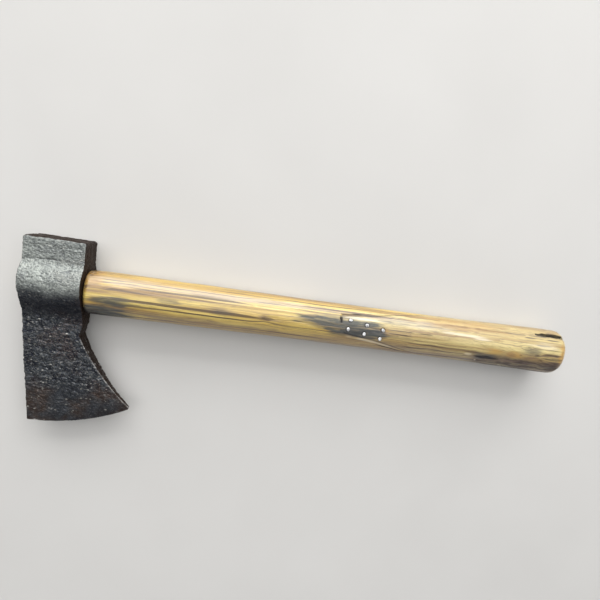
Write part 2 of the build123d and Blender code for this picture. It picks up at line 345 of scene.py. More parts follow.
def joined_copy(name, *nodes):
    """One mesh holding copies of CAD nodes' meshes."""
    points, faces = [], []
    for node in nodes:
        mesh = bpy.data.objects[node].data
        start = sum(len(part) for part in points)
        points.append(points_of(mesh))
        faces += [[start + v for v in face.vertices] for face in mesh.polygons]
    return mesh_object(name, np.vstack(points), faces)


def forged_relief(p):
    """Depth of hammer marks, scale and rust pits on the head, in millimetres inward."""
    drift = 1.6 * np.stack([noise(p, 6, 31 + k) for k in range(3)], axis=1)
    q = p + drift
    steel = ramp(p[:, 1] + 2.0 * noise(p, 9, 5), WELD_Y + 8, WELD_Y - 9)
    hammer = 0.22 * noise(p, (16, 13, 16), 1) + 0.10 * noise(p, 6, 2)
    poll_side = ramp(p[:, 1], -44, -36)
    lumps = 0.26 * rough_noise(q, (3.4, 1.9, 2.2), 3, 3)
    big = 0.35 * pits(q, (5.2, 3.4, 4.0), 0.25, 11)
    middle = 0.45 * pits(q, (2.7, 1.7, 2.0), 0.50, 21)
    fine = 0.26 * pits(q, (1.7, 1.15, 1.3), 0.6, 31)
    rust = lumps + big + middle + fine
    return hammer + rust * (1 - 0.5 * steel) * (1 - 0.35 * poll_side) + 0.16


def lap_line(p):
    """The cold lap where the wrapped eye steps up from the poll, on both cheeks."""
    run = ramp(p[:, 0], -14, -9) * ramp(p[:, 0], 8, 3)
    wander = p[:, 1] + 15.6 + 0.7 * noise(p, 5, 71)
    return 0.45 * run * np.exp(-(wander / 0.55) ** 2)


def edge_nicks(p):
    """Small dents along the cutting edge."""
    near_edge = ramp(p[:, 1], -136, -142)
    return 0.5 * near_edge * pits(p * (1, 0.2, 0.2), (7, 7, 7), 0.4, 83)


def make_head():
    """Poll, eye and blade as one detailed forging, then cut at the weld into its two pieces."""
    forging = joined_copy("forging", "head_body", "steel_bit")
    step = forging.modifiers.new("remesh", "REMESH")
    step.mode = "VOXEL"
    step.voxel_size = VOXEL * MM
    apply_modifiers(forging)
    mesh = forging.data
    p = points_of(mesh)
    relief = forged_relief(p) + lap_line(p) + edge_nicks(p)
    wall = ramp(eye_radius_share(p), 1.03, 1.12)
    outside = np.maximum(wall, ramp(np.abs(p[:, 0]), 20.9, 21.4))
    thin = ramp(np.abs(p[:, 2]), 0.2, 2.0)
    relief = relief * outside * (0.35 + 0.65 * thin)
    moved = p - normals_of(mesh) * relief[:, None]
    low, high = (np.array(corner) / MM for corner in cad_box)
    set_points(mesh, np.clip(moved, low + 0.05, high - 0.02))    # never larger than the CAD
    set_attribute(mesh, "relief", relief)

    section = [(CLEFT_Y, 0), (WELD_Y, 20), (-190, 20), (-190, -20), (WELD_Y, -20)]
    cleft = skin_through("cleft", [[(x, y, z) for y, z in section] for x in (-60, 100)])
    body = copy_of(forging, "iron_head")
    bit = copy_of(forging, "steel_edge")
    cut(body, cleft, "DIFFERENCE")
    cut(bit, cleft, "INTERSECT")
    discard(cleft)
    discard(forging)
    for piece, node, slot in (
        (body, "head_body", "forged_iron"),
        (bit, "steel_bit", "bit_steel"),
    ):
        shade_smooth(piece)
        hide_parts(node)
        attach(piece, "root")
    return body, bit


# ---- The haft ----
AROUND = 256
ALONG_STEP = 1.15      # millimetres
SKIN = 0.12                                   # the wood lies this far inside the CAD surface


def haft_half(distance):
    """Half-depth and half-width of the haft at a distance from the shoulder."""
    return smooth_through(HAFT_OVALS, distance) / 2 - SKIN


def haft_rings():
    """(x, half-depth, half-width) of each ring, from the tenon's end to the butt."""
    rings = []
    tenon = np.array(EYE_TOP) / 2 - SKIN
    for share in (0.12, 0.3, 0.5, 0.68, 0.82, 0.92, 0.98):
        rings.append((TENON_END_X + 0.05, *(tenon * share)))
    for x in np.linspace(TENON_END_X + 0.4, UNDERSIDE_X - 0.3, 26):
        rings.append((x, *(np.array(eye_half(x)) - SKIN)))
    start = haft_half(0)
    for angle in np.linspace(0, math.pi / 2, 9):
        inset = SHOULDER_ROUND * (1 - math.sin(angle))
        x = UNDERSIDE_X + 0.1 + SHOULDER_ROUND * (1 - math.cos(angle))
        rings.append((x, *(start - inset * np.array([0.75, 0.9]))))
    stops = (SHOULDER_ROUND + 0.9, NIB_FRONT - 3, 234.0, HAFT_LENGTH - BUTT_ROUND - 0.3)
    steps = (ALONG_STEP, 0.4 * ALONG_STEP, ALONG_STEP)
    straight = np.concatenate([np.arange(*span) for span in zip(stops, stops[1:], steps)])
    for distance in straight:
        rings.append((UNDERSIDE_X + distance, *haft_half(distance)))
    end = haft_half(HAFT_LENGTH - BUTT_ROUND)
    for angle in np.linspace(0, math.pi / 2, 16):
        x = UNDERSIDE_X + HAFT_LENGTH - BUTT_ROUND + BUTT_ROUND * math.sin(angle) - 0.1
        rings.append((x, *(end - BUTT_ROUND * (1 - math.cos(angle)))))
    flat = end - BUTT_ROUND
    for share in (0.93, 0.84, 0.74, 0.63, 0.5, 0.37, 0.24, 0.12):
        rings.append((UNDERSIDE_X + HAFT_LENGTH - 0.1, *(flat * share)))
    return np.array(rings)


def closed_grid(rings, around):
    """Points and faces of a skin through oval rings, closed at both ends."""
    angle = np.arange(around) * 2 * math.pi / around
    x = np.repeat(rings[:, 0], around)
    y = AXIS_Y + (rings[:, 1:2] * np.cos(angle)).ravel()
    z = (rings[:, 2:3] * np.sin(angle)).ravel()
    points = np.stack([x, y, z], axis=1)
    ends = [[rings[0, 0], AXIS_Y, 0], [rings[-1, 0], AXIS_Y, 0]]
    points = np.vstack([points, ends])
    faces = ring_faces(len(rings), around)
    first, last = len(points) - 2, (len(rings) - 1) * around
    for k in range(around):
        n = (k + 1) % around
        faces.append((first, n, k))
        faces.append((first + 1, last + k, last + n))
    return points, faces


def scarf_depth(distance):
    """Height of the scarf's surface at a distance from the shoulder."""
    knots = [(SCARF_MIDDLE - run, depth) for run, depth in reversed(SCARF_CURVE)]
    knots += [(SCARF_MIDDLE, 0)]
    knots += [(SCARF_MIDDLE + run, -depth) for run, depth in SCARF_CURVE]
    return smooth_through(knots, distance)[..., 0]


def scarf_gap(p):
    """Height above the scarf's surface, in millimetres: above 0 on the grip's side."""
    distance = p[:, 0] - UNDERSIDE_X
    height = (p[:, 1] - AXIS_Y) * math.sin(SCARF_ROLL) + p[:, 2] * math.cos(SCARF_ROLL)
    over = height - scarf_depth(distance)
    over = np.where(distance < NIB_FRONT, np.minimum(over, distance - NIB_FRONT), over)
    return np.where(distance > NIB_BACK, np.maximum(over, distance - NIB_BACK), over)


def scarf_tool(gap):
    """Everything on the grip's side of the splice, its nib chipped open by the gap."""
    reach = 30.0
    past_butt = 460
    distances = np.linspace(NIB_FRONT, NIB_BACK, 90)
    c, s = math.cos(SCARF_ROLL), math.sin(SCARF_ROLL)
    rings = []
    for side in np.linspace(-reach, reach, 61):
        probe = np.stack([distances, np.full_like(distances, side), 0 * distances], axis=1)
        depth = scarf_depth(distances) + 0.30 * noise(probe, (17, 9, 9), 201)
        open_here = float(ramp(side, 3.2, 4.6) * ramp(side, 10.4, 9.2))
        ragged = float(rough_noise(np.array([[0.0, side, 0.0]]), 3.0, 205, 2)[0])
        first = NIB_FRONT - 0.04 + 0.25 * ragged - gap * open_here * (1 + 0.5 * ragged)
        curve = np.stack([distances, depth], axis=1)
        curve[0, 0] = first
        corners = [(NIB_BACK, -reach), (past_butt, -reach), (past_butt, reach), (first, reach)]
        outline = np.vstack([curve, corners])
        y = AXIS_Y + side * c + outline[:, 1] * s
        z = -side * s + outline[:, 1] * c
        rings.append(np.stack([outline[:, 0] + UNDERSIDE_X, y, z], axis=1))
    tool = skin_through("scarf_tool", rings)
    set_attribute(tool.data, "black", np.full(len(tool.data.vertices), 0.9))
    return tool


def check_tool():
    """The drying check in the butt: a long, ragged crack that widens to the end."""
    start, stop = HAFT_LENGTH - CHECK_LENGTH, HAFT_LENGTH + 3
    c, s = math.cos(CHECK_ANGLE), math.sin(CHECK_ANGLE)
    rings = []
    for distance in np.linspace(start, stop, 40):
        half_y, half_z = haft_half(min(distance, HAFT_LENGTH - BUTT_ROUND))
        radius = 1 / math.hypot(c / half_y, s / half_z)
        opening = (distance - start) / (stop - start)
        probe = np.array([[distance, 0.0, 0.0]])
        half = 0.7 + 1.7 * opening**0.4 + 0.25 * float(noise(probe, 2.6, 207)[0])
        wander = 0.45 * float(rough_noise(probe, 8.0, 208, 2)[0])
        depth = CHECK_DEPTH * min(1.0, 0.25 + 1.2 * opening)
        section = [(3, -1.15), (3, 1.15), (-1, 0.95)]
        section += [(-depth, 0.5), (-depth, -0.5), (-1, -0.95)]
        ring = []
        for out, across in section:
            side = wander + across * half
            y = AXIS_Y + (radius + out) * c - side * s
            ring.append((distance + UNDERSIDE_X, y, (radius + out) * s + side * c))
        rings.append(np.array(ring))
    tool = skin_through("check_tool", rings)
    set_attribute(tool.data, "black", np.ones(len(tool.data.vertices)))
    return tool


def blot(p, distance, height, half_length, half_height, seed, ragged):
    """1 inside a ragged oval patch on the haft's near side (+Z), falling to 0 outside it."""
    u = (p[:, 0] - UNDERSIDE_X - distance) / half_length
    v = (p[:, 1] - AXIS_Y - height) / half_height
    away = np.hypot(u, v)
    near = (away < 1.25 + 1.75 * ragged) & (p[:, 2] > -2)
    found = np.zeros(len(p))
    wander = ragged * rough_noise(p[near], (16, 1.5, 3), seed, 3)
    found[near] = ramp(away[near] + wander, 1.25, 0.55) * ramp(p[near, 2], -2, 4)
    return found


def seam_of(p):
    """1 along the splice's seam, but little where the nib is pressed tight and stained over."""
    distance = p[:, 0] - UNDERSIDE_X
    y = p[:, 1] - AXIS_Y
    seam = np.exp(-((scarf_gap(p) / 0.55) ** 2))
    tight = ramp(distance, NIB_FRONT + 4, NIB_FRONT + 2) * ramp(y, 4.4, 3.4) * ramp(y, -7, -5)
    return seam * (1 - 0.95 * tight)


def split_of(p):
    """1 along the split that runs on from the chipped nib, rising toward the butt."""
    distance = p[:, 0] - UNDERSIDE_X
    start = NIB_FRONT - 1
    line = SPLIT_HEIGHT + SPLIT_RISE * (distance - start) + 0.3 * noise(p, 5, 851)
    split = np.exp(-(((p[:, 1] - AXIS_Y - line) / 0.6) ** 2)) * (p[:, 2] > 0)
    return split * ramp(distance, start, start + 2) * ramp(distance, 215, 206)


def nail_tops():
    """Centre of each nail's head: its length up from its point, which is low in its box."""
    c, s = math.cos(SCARF_ROLL), math.sin(SCARF_ROLL)
    for number in range(1, 7):
        low, high = (np.array(corner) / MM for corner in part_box(f"splice_nail_{number}"))
        middle = (low[0] + high[0]) / 2
        point = np.array([middle, low[1] + NAIL_TIP_R * c, low[2] + NAIL_TIP_R * s])
        yield point + NAIL_LENGTH * np.array([0, s, c])


def surface_wear(p, seed):
    """Depth of whittled facets, grain and dents on the haft, in millimetres inward."""
    curl = 0.5 + 0.8 * ramp(p[:, 0] - UNDERSIDE_X, 195, 300)
    drift = curl[:, None] * np.stack(
        [0 * p[:, 0], noise(p, (11, 9, 9), seed + 1), noise(p, (11, 9, 9), seed + 2)], axis=1
    )
    q = p + drift
    facets = 0.22 * noise(p, (48, 8, 8), seed + 3) + 0.12 * noise(p, (17, 6, 6), seed + 4)
    grain = 0.085 * noise(q, (34, 1.5, 1.5), seed + 5)
    grain += 0.05 * noise(q, (16, 0.85, 0.85), seed + 6)
    split = 0.20 * np.clip(1 - np.abs(noise(q, (130, 3.1, 3.1), seed + 7)) / 0.06, 0, 1)
    split = split * ramp(noise(p, (60, 7, 7), seed + 8), 0.15, 0.6)
    dents = 0.30 * pits(p, (19, 7, 7), 0.16, seed + 9)
    return facets + grain + split + dents + 0.25


def haft_wear(p, seed, lower_nib):
    """All the wear on the haft; lower_nib sets the front nib a little below its neighbour."""
    distance = p[:, 0] - UNDERSIDE_X
    wear = surface_wear(p, seed)
    corner = ramp(distance, 14, 2) * ramp(p[:, 1] - AXIS_Y, 8, 15)
    wear += corner * (0.5 + 0.9 * pits(p, (3.5, 2.2, 2.2), 0.6, seed + 11))
    wear += 0.32 * seam_of(p) + 0.4 * split_of(p)
    if lower_nib:
        wear += 0.10 * ramp(distance, 204, 193)
    hole = np.zeros(len(p))
    for top in nail_tops():
        away = np.linalg.norm(p - top, axis=1)
        hole = np.maximum(hole, ramp(away, 2.3, 1.5))
    wear += 0.35 * hole
    butt = ramp(distance, HAFT_LENGTH - 9, HAFT_LENGTH - 1)
    wear += butt * 0.35 * pits(p, (3, 3.4, 3.4), 0.5, seed + 12)
    wear *= ramp(distance, 0.05, 1.6)    # none under the head, where the wood fills the eye
    end_grain = ramp(p[:, 0], TENON_END_X + 0.3, TENON_END_X)
    return wear + end_grain * (0.18 * noise(p, (9, 0.9, 0.9), seed + 13) + 0.2)


def make_haft():
    """Both lengths of the haft, the wedge slots and the check cut out of them."""
    points, faces = closed_grid(haft_rings(), AROUND)
    made = []
    seed = 300    # one for both, so that the grain runs through the splice
    for name, node, slot in (
        ("haft_front", "haft_forward", "haft_wood"),
        ("haft_handle", "haft_grip", "grip_wood"),
    ):
        piece = mesh_object(name, points, faces)
        p = points_of(piece.data)
        wear = haft_wear(p, seed, node == "haft_grip")
        set_points(piece.data, p - normals_of(piece.data) * wear[:, None])
        set_attribute(piece.data, "wear", wear)
        tool = scarf_tool(NIB_CHIP if node == "haft_forward" else 0.0)
        if node == "haft_forward":
            cut(piece, tool, "DIFFERENCE")
            for slab in (wood_wedge_slab(), iron_wedge_slab()):
                cut(piece, slab, "DIFFERENCE")
                discard(slab)
        else:
            cut(piece, tool, "INTERSECT")
            crack = check_tool()
            cut(piece, crack, "DIFFERENCE")
            discard(crack)
        discard(tool)
        mark_wood(piece, seed)
        shade_smooth(piece, CREASE)
        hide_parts(node)
        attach(piece, "root")
        made.append(piece)
    return made


def mark_wood(piece, seed):
    """Stains, grime, pale rubs, painted highlight, painted shade on the low side and bent
    grain, kept as numbers at the vertices.
    """
    p = points_of(piece.data)
    distance = p[:, 0] - UNDERSIDE_X
    y = p[:, 1] - AXIS_Y
    marks = {}

    def lay(name, strength):
        marks[name] = np.maximum(marks[name], strength)

    for name, (first_seed, ragged, patches) in BLOTS.items():
        marks[name] = attribute_of(piece.data, name).astype(float)    # black in the cuts
        for k, (*place, strength) in enumerate(patches):
            lay(name, strength * blot(p, *place, first_seed + 7 * k, ragged))

    # Patches on the back, and on the low side painted shade and grime, in patches and long
    # streaks.
    under = ramp(p[:, 2], 3, -9)
    patches = rough_noise(p, (34, 9, 9), seed + 20, 3)
    lay("brown", 0.55 * under * ramp(patches, 0.0, 0.9))
    behind = under * ramp(distance, 160, 190) * ramp(distance, 250, 215)
    lay("blue", 0.6 * behind * ramp(patches, -0.5, 0.3))
    dirty = rough_noise(p, (16, 4, 4), seed + 21, 3)
    lay("black", 0.5 * under * ramp(dirty, 0.5, 1.1))
    # painted shade with grime: the low side is painted browner and darker
    low_shade_and_grime = ramp(y, -5, -14)
    streaky = rough_noise(p, (60, 2.2, 2.2), seed + 23, 2)
    lay("brown", 0.6 * low_shade_and_grime * ramp(patches, -0.7, 0.6))
    lay("brown", 0.9 * low_shade_and_grime * ramp(streaky, -0.1, 0.6))
    lay("black", 0.35 * low_shade_and_grime * ramp(streaky, 0.3, 0.9))
    grip_side = ramp(y + 1.5 * noise(p, (14, 4, 4), seed + 22), -4, -9)
    grip_side *= ramp(distance, 300, 320) * ramp(distance, 397, 386)
    lay("brown", 0.8 * grip_side)
    lay("black", 0.6 * grip_side * ramp(streaky, -1.2, 0.3))

    # The splice: its dark seam, a pale sliver with a dark line under it, the chipped nib,
    # the split, and stain round the nails.
    lay("black", 0.7 * seam_of(p) * ramp(distance, 330, 210) * ramp(distance, 188, 196))
    sliver = np.exp(-(((scarf_gap(p) + 0.9) / 0.4) ** 2)) * ramp(y, 0, -4)
    sliver *= ramp(distance, 196, 203) * ramp(distance, 250, 236)
    lay("pale", 0.7 * sliver * ramp(rough_noise(p, (9, 3, 3), 857, 2), -1.0, 0.2))
    low_line = np.exp(-(((scarf_gap(p) + 1.9) / 0.5) ** 2)) * ramp(y, 2, -2)
    low_line *= ramp(distance, 221, 229) * ramp(distance, 252, 243)
    lay("black", 0.85 * low_line)
    notch = np.exp(-(((distance - NIB_FRONT) / 1.1) ** 2))
    lay("black", 0.95 * notch * ramp(y, 3.6, 4.6) * ramp(y, 9.4, 8.4))
    split = split_of(p)
    lay("black", 0.9 * split)
    marks["pale"] *= 1 - np.maximum(split, low_line)
    rings = np.zeros(len(p))
    for top in nail_tops():
        rings = np.maximum(rings, ramp(np.linalg.norm(p - top, axis=1), 2.8, 1.7))
    lay("black", 0.8 * rings * ramp(rough_noise(p, 2.4, seed + 24, 2), -1.1, 0.1))

    # A painted highlight and pale wear on the butt's rim, and pale crumbs low on the grip.
    rim = np.exp(-(((distance - 394.6) / 0.7) ** 2))
    lay("pale", 0.6 * rim * ramp(rough_noise(p, 5, 853, 2), -0.9, 0.3))
    crumbs = pits(p, (2.6, 2.2, 2.2), 0.07, 855) * ramp(distance, 306, 316)
    crumbs *= ramp(distance, 380, 350) * ramp(y, -5, -7) * ramp(p[:, 2], 0, 4)
    lay("pale", ramp(crumbs, 0.25, 0.6))

    bend = np.zeros(len(p))
    for at, up, reach, strength in KNOTS:
        u = (distance - at) / reach
        v = (y - up) / (0.55 * reach)
        bend += strength * np.exp(-(u * u + v * v)) * np.tanh(4 * v) * ramp(p[:, 2], -2, 4)
    marks["bend"] = bend
    for name, values in marks.items():
        set_attribute(piece.data, name, values)


# ---- Wedges and nails ----
def wedge_slab(thin_axis, half_thick, depth, half_width):
    """A wedge's block: thick at the tenon's end, thin toward the haft."""
    end = TENON_END_X - 1.0
    tip = TENON_END_X + depth
    rings = []
    for x, half in ((end, half_thick * 1.02), (tip, half_thick / 4)):
        corners = [(a * half_width, b * half) for a, b in SQUARE]
        if thin_axis == "y":
            corners = [(b, a) for a, b in corners]
        rings.append(np.array([(x, AXIS_Y + y, z) for y, z in corners]))
    return skin_through("slab", rings)


def wood_wedge_slab():
    return wedge_slab("z", WOOD_WEDGE_HALF, WOOD_WEDGE_DEPTH, KERF_HALF_WIDTH)


def iron_wedge_slab():
    return wedge_slab("y", IRON_WEDGE_HALF, IRON_WEDGE_DEPTH, IRON_WEDGE_HALF_WIDTH)


def grid_box(name, low, high, steps, shape):
    """A box with a grid on every face, its points moved by shape(points)."""
    index = {}
    points, faces = [], []

    def corner(*key):
        if key not in index:
            index[key] = len(points)
            points.append([low[a] + (high[a] - low[a]) * key[a] / steps[a] for a in range(3)])
        return index[key]

    for axis in range(3):
        u, v = (axis + 1) % 3, (axis + 2) % 3
        for level in (0, steps[axis]):
            for i in range(steps[u]):
                for j in range(steps[v]):
                    quad = []
                    for di, dj in ((0, 0), (1, 0), (1, 1), (0, 1)):
                        key = [0, 0, 0]
                        key[axis], key[u], key[v] = level, i + di, j + dj
                        quad.append(corner(*key))
                    faces.append(quad if level else quad[::-1])
    return mesh_object(name, shape(np.array(points)), faces)


def make_wedges():
    """The wooden wedge along the eye and the iron one across it, seen in the tenon's end."""
    def taper(p, thin, depth):
        share = 1 - 0.75 * np.clip((p[:, 0] - TENON_END_X) / depth, 0, 1)
        p = p.copy()
        centre = AXIS_Y if thin == 1 else 0.0
        p[:, thin] = centre + (p[:, thin] - centre) * share
        return p

    def wood_shape(p):
        half_y = eye_half(p[:, 0])[0] - 0.3
        p = taper(p, 2, WOOD_WEDGE_DEPTH)
        p[:, 1] = AXIS_Y + (p[:, 1] - AXIS_Y) * half_y
        rough = ramp(p[:, 0], TENON_END_X + 0.6, TENON_END_X + 0.05)
        sunk = 0.25 + 0.22 * rough_noise(p, (9, 1.1, 0.8), 811, 2)
        p[:, 0] += rough * np.maximum(sunk, 0.02)
        return p

    def iron_shape(p):
        p = taper(p, 1, IRON_WEDGE_DEPTH)
        rough = ramp(p[:, 0], TENON_END_X + 0.8, TENON_END_X + 0.05)
        edge = np.maximum(np.abs(p[:, 2]) / 7.4, np.abs(p[:, 1] - AXIS_Y) / 1.1)
        sunk = 0.15 + 0.3 * ramp(edge, 0.6, 1.0) + 0.15 * rough_noise(p, 1.4, 821, 2)
        p[:, 0] += rough * np.maximum(sunk, 0.02)
        return p

    low = (TENON_END_X, AXIS_Y - 1, -1.9)
    high = (TENON_END_X + WOOD_WEDGE_DEPTH - 0.2, AXIS_Y + 1, 1.9)
    wood = grid_box("eye_wedge", low, high, (30, 60, 9), wood_shape)
    low = (TENON_END_X, AXIS_Y - 1.12, -7.4)
    high = (TENON_END_X + IRON_WEDGE_DEPTH - 0.2, AXIS_Y + 1.12, 7.4)
    iron = grid_box("cross_wedge", low, high, (22, 8, 34), iron_shape)
    tool = iron_wedge_slab()
    cut(wood, tool, "DIFFERENCE")
    discard(tool)
    for piece, node, slot in (
        (wood, "wood_wedge", "wedge_wood"),
        (iron, "iron_wedge", "wedge_iron"),
    ):
        shade_smooth(piece)
        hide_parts(node)
        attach(piece, "root")
    return wood, iron


def make_nails():
    """Six hammered nail heads on pointed shanks, each a little different."""
    c, s = math.cos(SCARF_ROLL), math.sin(SCARF_ROLL)
    axes = np.array([(1, 0, 0), (0, c, -s), (0, s, c)], float)
    profile = [(0.4, 0.03), (0.8, 0.01), (1.1, -0.03), (1.3, -0.10), (1.42, -0.22)]
    profile += [(1.46, -0.4), (1.42, -0.7), (1.2, -0.95), (0.9, -1.2), (0.88, -6.0)]
    profile += [(0.86, -12.0), (0.8, -18.9), (0.2, -21.8)]
    around = 36
    turn = np.arange(around) * 2 * math.pi / around
    made = []
    for number, top in enumerate(nail_tops(), start=1):
        uneven = 1 + 0.07 * np.sin(2 * turn + number) + 0.04 * np.sin(5 * turn + 2 * number)
        rings = []
        for radius, height in profile:
            spread = radius * uneven if height >= -1.0 else np.full(around, radius)
            level = np.full(around, height)
            ring = np.stack([spread * np.cos(turn), spread * np.sin(turn), level], axis=1)
            rings.append(ring)
        local = np.vstack(rings)
        head = ramp(local[:, 2], -1.0, -0.4)
        local[:, 2] += head * 0.10 * noise(local + 20 * number, 0.9, 830 + number)
        local[:, 2] = np.minimum(local[:, 2], 0.04)
        world = top + local @ axes
        faces = [list(range(around))]
        for ring in range(len(rings) - 1):
            a, b = ring * around, (ring + 1) * around
            for k in range(around):
                n = (k + 1) % around
                faces.append([a + k, b + k, b + n, a + n])
        faces.append(list(range(len(world) - around, len(world)))[::-1])
        piece = mesh_object(f"nail_{number}", world, faces)
        shade_smooth(piece)
        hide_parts(f"splice_nail_{number}")
        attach(piece, "root")
        made.append(piece)
    return made


# ---- Material building blocks ----
class Shader:
    """A node tree under construction: each method adds a node and returns its output."""

    def __init__(self, name):
        self.material = bpy.data.materials.new(name)
        self.material.use_nodes = True
        self.tree = self.material.node_tree
        self.surface = self.tree.nodes["Principled BSDF"]
        self.place = self.add("ShaderNodeTexCoord").outputs["Object"]
        self.colour = None

    def add(self, kind, inputs=None, **settings):
        made = self.tree.nodes.new(kind)
        for key, value in settings.items():
            setattr(made, key, value)
        for key, value in (inputs or {}).items():
            self.plug(made.inputs[key], value)
        return made

    def plug(self, socket, value):
        if isinstance(value, bpy.types.NodeSocket):
            self.tree.links.new(value, socket)
        elif isinstance(value, tuple) and len(value) == 3 and socket.type == "RGBA":
            socket.default_value = (*value, 1.0)
        else:
            socket.default_value = value

    def set(self, **inputs):
        for key, value in inputs.items():
            self.plug(self.surface.inputs[key.replace("_", " ")], value)

    def mark(self, name):
        """A number kept at the vertices."""
        return self.add("ShaderNodeAttribute", attribute_name=name).outputs["Fac"]

    def stretched(self, scale, place=None):
        """The place multiplied by one number per axis, in features per metre."""
        return self.add(
            "ShaderNodeVectorMath",
            {0: place or self.place, 1: scale},
            operation="MULTIPLY",
        ).outputs[0]

    def cloud(self, scale, detail=3.0, rough=0.5, place=None):
        """Fractal noise from about 0.25 to 0.75; scale is features per metre on each axis."""
        return self.add(
            "ShaderNodeTexNoise",
            {
                "Vector": self.stretched(scale, place),
                "Scale": 1.0,
                "Detail": detail,
                "Roughness": rough,
            },
        ).outputs["Fac"]

    def cells(self, scale):
        """Distance from the nearest of many scattered points."""
        return self.add(
            "ShaderNodeTexVoronoi",
            {"Vector": self.stretched(scale), "Scale": 1.0},
        ).outputs["Distance"]

    def span(self, value, low, high, to_low=0.0, to_high=1.0):
        """Maps low..high onto to_low..to_high, clamped and smooth."""
        return self.add(
            "ShaderNodeMapRange",
            {
                "Value": value,
                "From Min": low,
                "From Max": high,
                "To Min": to_low,
                "To Max": to_high,
            },
            interpolation_type="SMOOTHSTEP",
        ).outputs["Result"]

    def calc(self, operation, a, b):
        return self.add("ShaderNodeMath", {0: a, 1: b}, operation=operation).outputs[0]

    def times(self, a, b):
        return self.calc("MULTIPLY", a, b)

    def plus(self, a, b):
        return self.calc("ADD", a, b)

    def mix(self, share, a, b):
        """Colour a where share is 0 and b where it is 1."""
        made = self.add("ShaderNodeMix", data_type="RGBA")
        self.plug(made.inputs[0], share)
        self.plug(made.inputs[6], a)
        self.plug(made.inputs[7], b)
        return made.outputs[2]

    def tint(self, share, over):
        """Lays one more colour over the colour so far."""
        self.colour = self.mix(share, self.colour, over)

    def bump(self, height, strength, distance, below=None):
        """A normal bent by a height, on top of the bump below it."""
        inputs = {"Height": height, "Strength": strength, "Distance": distance}
        if below is not None:
            inputs["Normal"] = below
        return self.add("ShaderNodeBump", inputs).outputs["Normal"]


# ---- Iron and steel ----
def iron_material(name, rust):
    """Old forged iron: blue-black scale, worn grey high spots, brown rust in the pits, painted
    sheen on the poll side, painted shade under the eye's bulge and a painted glint on the
    beard's corner.
    """
    m = Shader(name)
    relief = m.mark("relief")
    steel = m.mark("steel")
    broad = m.cloud((38, 45, 50))
    mottled = m.cloud((240, 320, 320), 4.0, 0.6)
    grit = m.cloud((640, 820, 820), 3.0, 0.62)
    specks = m.cloud((1000, 1500, 1500), 2.0, 0.6)
    m.colour = m.mix(m.span(mottled, 0.38, 0.64), (0.028, 0.032, 0.044), (0.088, 0.097, 0.109))
    m.tint(m.span(grit, 0.52, 0.70, 0.0, 0.8), (0.240, 0.245, 0.240))
    rusty = m.times(m.span(broad, 0.52, 0.66), m.span(grit, 0.40, 0.58))
    m.tint(m.times(rusty, rust), (0.130, 0.064, 0.040))
    m.tint(m.span(relief, 0.50, 1.0, 0.0, 0.85), (0.012, 0.010, 0.010))
    m.tint(m.times(m.span(specks, 0.58, 0.70), 0.62), (0.38, 0.37, 0.33))
    smooth = m.mix(m.span(broad, 0.40, 0.60), (0.060, 0.065, 0.076), (0.088, 0.060, 0.046))
    m.tint(m.times(steel, m.span(mottled, 0.35, 0.62, 0.78, 0.45)), smooth)
    spots = m.span(m.cells((250, 370, 370)), 0.26, 0.12)
    spots = m.times(spots, m.span(m.cloud((150, 200, 200), 2.0), 0.46, 0.58))
    m.tint(m.times(spots, 0.85), (0.44, 0.43, 0.395))
    # painted sheen over real rubbed iron: the poll side turns a lighter grey-green
    poll_side = m.times(m.mark("worn"), m.span(grit, 0.36, 0.56, 0.45, 1.0))
    m.tint(poll_side, (0.40, 0.43, 0.40))
    # painted shade below the eye's bulge
    m.tint(m.mark("soot"), (0.012, 0.013, 0.020))
    m.tint(m.times(m.mark("brown"), 0.9), (0.034, 0.019, 0.012))
    # painted glint along the beard's corner, and the bright cutting edge
    m.tint(m.mark("edge"), (0.72, 0.71, 0.68))
    bare = m.span(relief, 0.90, 0.15, 0.45, 0.92)
    bare = m.times(bare, m.span(m.mark("worn"), 0.0, 1.0, 1.0, 0.6))
    rough = m.span(mottled, 0.3, 0.7, 0.34, 0.48)
    rough = m.plus(rough, m.times(m.mark("brown"), 0.2))
    rough = m.plus(rough, m.times(m.mark("worn"), 0.10))
    m.set(Base_Color=m.colour, Roughness=rough, Metallic=bare)
    low = m.bump(mottled, 0.7, 0.0010)
    low = m.bump(grit, 0.8, 0.0007, low)
    m.set(Normal=m.bump(specks, 0.5, 0.0003, low))
    return m.material


